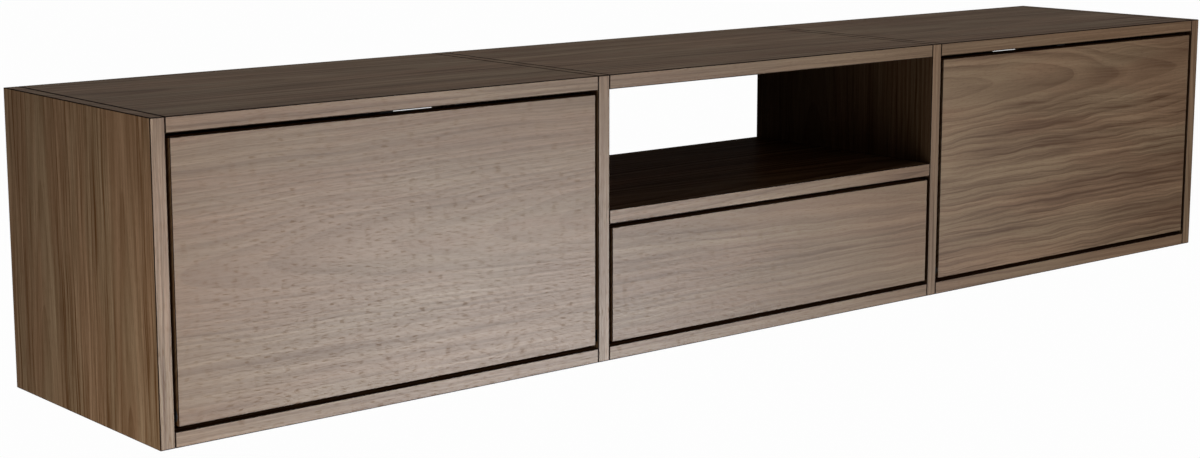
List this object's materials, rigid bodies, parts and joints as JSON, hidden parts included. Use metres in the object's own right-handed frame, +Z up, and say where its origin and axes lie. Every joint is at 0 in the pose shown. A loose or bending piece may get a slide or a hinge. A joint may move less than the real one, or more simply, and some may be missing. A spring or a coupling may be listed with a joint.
{
  "type": "floating media console",
  "caption": "Wall-hung walnut media console with drop-down flaps either side of an open niche over an inset drawer.",
  "frame": {"origin": "centre of the console's back, on the wall plane, at mid length and mid height, on the niche shelf's back edge", "axes": "+X along the length, to the right seen from the front; +Y into the wall, so the front faces -Y; +Z up"},
  "size_m": [1.951, 0.372, 0.38],
  "materials": {
    "walnut_upright": "satin lacquered walnut veneer, grain upright",
    "walnut_level": "satin lacquered walnut veneer, grain along the length",
    "walnut_front": "satin lacquered walnut veneer, grain across, with cathedral figure",
    "walnut_back": "satin lacquered walnut veneer on thin board",
    "drawer_wood": "clear lacquered birch",
    "zinc_steel": "bright zinc plated",
    "dark_plastic": "fine texture",
    "damper_paint": "satin black",
    "pale_nylon": "moulded nylon",
    "bright_rod": "polished"
  },
  "bodies": {
    "carcase": {"side_panel_left": "walnut_upright", "side_panel_right": "walnut_upright", "divider_left": "walnut_upright", "divider_right": "walnut_upright", "top_panel_left": "walnut_level", "top_panel_centre": "walnut_level", "top_panel_right": "walnut_level", "bottom_panel_left": "walnut_level", "bottom_panel_centre": "walnut_level", "bottom_panel_right": "walnut_level", "niche_shelf": "walnut_level", "back_board_left": "walnut_back", "back_board_right": "walnut_back", "back_board_centre": "walnut_back", "pivot_plate_left_outer": "zinc_steel", "pivot_plate_left_inner": "zinc_steel", "pivot_plate_right_inner": "zinc_steel", "pivot_plate_right_outer": "zinc_steel", "damper_anchor_left": "zinc_steel", "damper_anchor_right": "zinc_steel", "latch_housing_left": "dark_plastic", "latch_housing_right": "dark_plastic", "latch_housing_drawer": "dark_plastic", "runner_cabinet_left": "zinc_steel", "runner_cabinet_right": "zinc_steel", "wall_rail_left": "zinc_steel", "wall_rail_right": "zinc_steel", "hanger_left_outer": "zinc_steel", "hanger_left_inner": "zinc_steel", "hanger_right_inner": "zinc_steel", "hanger_right_outer": "zinc_steel"},
    "left_flap": {"flap_left": "walnut_front", "pivot_bush_left_outer": "pale_nylon", "pivot_bush_left_inner": "pale_nylon", "strike_plate_left": "zinc_steel", "damper_bracket_left": "zinc_steel"},
    "right_flap": {"flap_right": "walnut_front", "pivot_bush_right_inner": "pale_nylon", "pivot_bush_right_outer": "pale_nylon", "strike_plate_right": "zinc_steel", "damper_bracket_right": "zinc_steel"},
    "left_damper_body": {"damper_body_left": "damper_paint"},
    "right_damper_body": {"damper_body_right": "damper_paint"},
    "left_damper_rod": {"damper_rod_left": "bright_rod"},
    "right_damper_rod": {"damper_rod_right": "bright_rod"},
    "left_latch_plunger": {"latch_plunger_left": "pale_nylon"},
    "right_latch_plunger": {"latch_plunger_right": "pale_nylon"},
    "drawer": {"drawer_front": "walnut_front", "drawer_side_left": "drawer_wood", "drawer_side_right": "drawer_wood", "drawer_inner_front": "drawer_wood", "drawer_back": "drawer_wood", "drawer_bottom": "drawer_wood", "runner_drawer_left": "zinc_steel", "runner_drawer_right": "zinc_steel"},
    "left_runner_middle": {"runner_middle_left": "zinc_steel"},
    "right_runner_middle": {"runner_middle_right": "zinc_steel"},
    "drawer_latch_plunger": {"latch_plunger_drawer": "pale_nylon"}
  },
  "joints": [
    {"name": "left_flap_hinge", "type": "hinge", "parent": "carcase", "child": "left_flap", "pos_m": [-0.644, -0.3625, -0.154], "axis": [1, 0, 0], "range_deg": [0, 90]},
    {"name": "right_flap_hinge", "type": "hinge", "parent": "carcase", "child": "right_flap", "pos_m": [0.644, -0.3625, -0.154], "axis": [1, 0, 0], "range_deg": [0, 90]},
    {"name": "left_damper_body_pivot", "type": "hinge", "parent": "carcase", "child": "left_damper_body", "pos_m": [-0.9445, -0.23585, -0.13545], "axis": [1, 0, 0], "range_deg": [0, 45]},
    {"name": "right_damper_body_pivot", "type": "hinge", "parent": "carcase", "child": "right_damper_body", "pos_m": [0.9445, -0.23585, -0.13545], "axis": [1, 0, 0], "range_deg": [0, 45]},
    {"name": "left_damper_rod_pivot", "type": "hinge", "parent": "left_flap", "child": "left_damper_rod", "pos_m": [-0.9445, -0.341, -0.02782], "axis": [1, 0, 0], "range_deg": [-45, 0]},
    {"name": "right_damper_rod_pivot", "type": "hinge", "parent": "right_flap", "child": "right_damper_rod", "pos_m": [0.9445, -0.341, -0.02782], "axis": [1, 0, 0], "range_deg": [-45, 0]},
    {"name": "left_latch_plunger_slide", "type": "slide", "parent": "carcase", "child": "left_latch_plunger", "axis": [0, -1, 0], "range_m": [0, 0.02]},
    {"name": "right_latch_plunger_slide", "type": "slide", "parent": "carcase", "child": "right_latch_plunger", "axis": [0, -1, 0], "range_m": [0, 0.02]},
    {"name": "drawer_slide", "type": "slide", "parent": "carcase", "child": "drawer", "axis": [0, -1, 0], "range_m": [0, 0.25]},
    {"name": "left_runner_middle_slide", "type": "slide", "parent": "carcase", "child": "left_runner_middle", "axis": [0, -1, 0], "range_m": [0, 0.125]},
    {"name": "right_runner_middle_slide", "type": "slide", "parent": "carcase", "child": "right_runner_middle", "axis": [0, -1, 0], "range_m": [0, 0.125]},
    {"name": "drawer_latch_plunger_slide", "type": "slide", "parent": "carcase", "child": "drawer_latch_plunger", "axis": [0, -1, 0], "range_m": [0, 0.015]}
  ],
  "couplings": [
    {"joint": "left_damper_body_pivot", "follows": "left_flap_hinge", "ratio": 0.5},
    {"joint": "right_damper_body_pivot", "follows": "right_flap_hinge", "ratio": 0.5},
    {"joint": "left_damper_rod_pivot", "follows": "left_flap_hinge", "ratio": -0.5},
    {"joint": "right_damper_rod_pivot", "follows": "right_flap_hinge", "ratio": -0.5},
    {"joint": "left_latch_plunger_slide", "follows": "left_flap_hinge", "m_per_rad": 0.0127},
    {"joint": "right_latch_plunger_slide", "follows": "right_flap_hinge", "m_per_rad": 0.0127},
    {"joint": "left_runner_middle_slide", "follows": "drawer_slide", "ratio": 0.5},
    {"joint": "right_runner_middle_slide", "follows": "drawer_slide", "ratio": 0.5},
    {"joint": "drawer_latch_plunger_slide", "follows": "drawer_slide", "ratio": 0.06}
  ]
}
